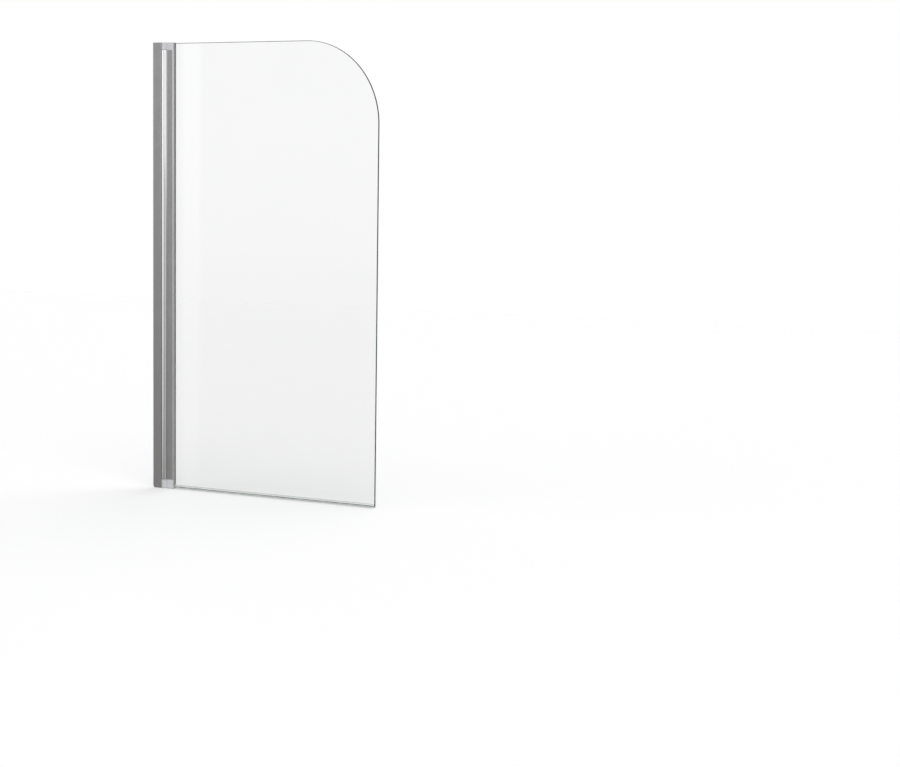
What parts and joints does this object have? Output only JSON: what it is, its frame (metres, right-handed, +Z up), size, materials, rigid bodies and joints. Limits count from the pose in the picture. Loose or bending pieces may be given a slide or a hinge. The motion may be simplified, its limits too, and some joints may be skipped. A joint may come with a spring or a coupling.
{
  "type": "bath screen",
  "caption": "Frameless glass bath screen with a rounded top corner, pivoting on a wall profile that adjusts to the wall.",
  "frame": {"origin": "on the wall, at the middle of the wall profile's foot, level with the bath rim", "axes": "+X from the wall along the screen, +Y from the room side to the bath side, +Z up"},
  "size_m": [0.8, 0.0296, 1.4],
  "materials": {
    "polished_aluminium": "bright polished, drawn along its length",
    "cover_plastic": "smooth moulded grey",
    "block_plastic": "satin moulded light grey",
    "bush_plastic": "natural bearing plastic",
    "packer_plastic": "plain moulded",
    "screw_steel": "bright stainless",
    "pin_steel": "ground stainless",
    "seal_strip": "soft grey strip",
    "glazing_gasket": "soft light grey extrusion",
    "clear_glass": "clear toughened, polished edges",
    "clear_seal": "clear soft extrusion"
  },
  "bodies": {
    "wall_channel": {"wall_profile": "polished_aluminium", "wall_profile_cap": "cover_plastic", "adjustment_screws": "screw_steel", "clamp_plates": "screw_steel", "screw_cover_caps": "cover_plastic"},
    "post": {"post_profile": "polished_aluminium", "post_seals": "seal_strip", "top_pivot_bracket": "block_plastic", "bottom_pivot_bracket": "block_plastic", "top_pivot_pin": "pin_steel", "bottom_pivot_pin": "pin_steel", "bracket_screws": "screw_steel", "thrust_washer": "bush_plastic"},
    "door": {"hinge_profile": "polished_aluminium", "top_bush": "bush_plastic", "bottom_bush": "bush_plastic", "glass_panel": "clear_glass", "front_gasket": "glazing_gasket", "rear_gasket": "glazing_gasket", "glass_setting_blocks": "packer_plastic", "top_end_cap": "block_plastic", "bottom_end_cap": "block_plastic", "end_cap_screws": "screw_steel", "bottom_seal": "clear_seal"}
  },
  "joints": [
    {"name": "width_adjust", "type": "slide", "parent": "wall_channel", "child": "post", "axis": [1, 0, 0], "range_m": [0, 0.01]},
    {"name": "door_pivot", "type": "hinge", "parent": "post", "child": "door", "pos_m": [0.039, 0, 0], "axis": [0, 0, 1], "range_deg": [-90, 90]}
  ]
}
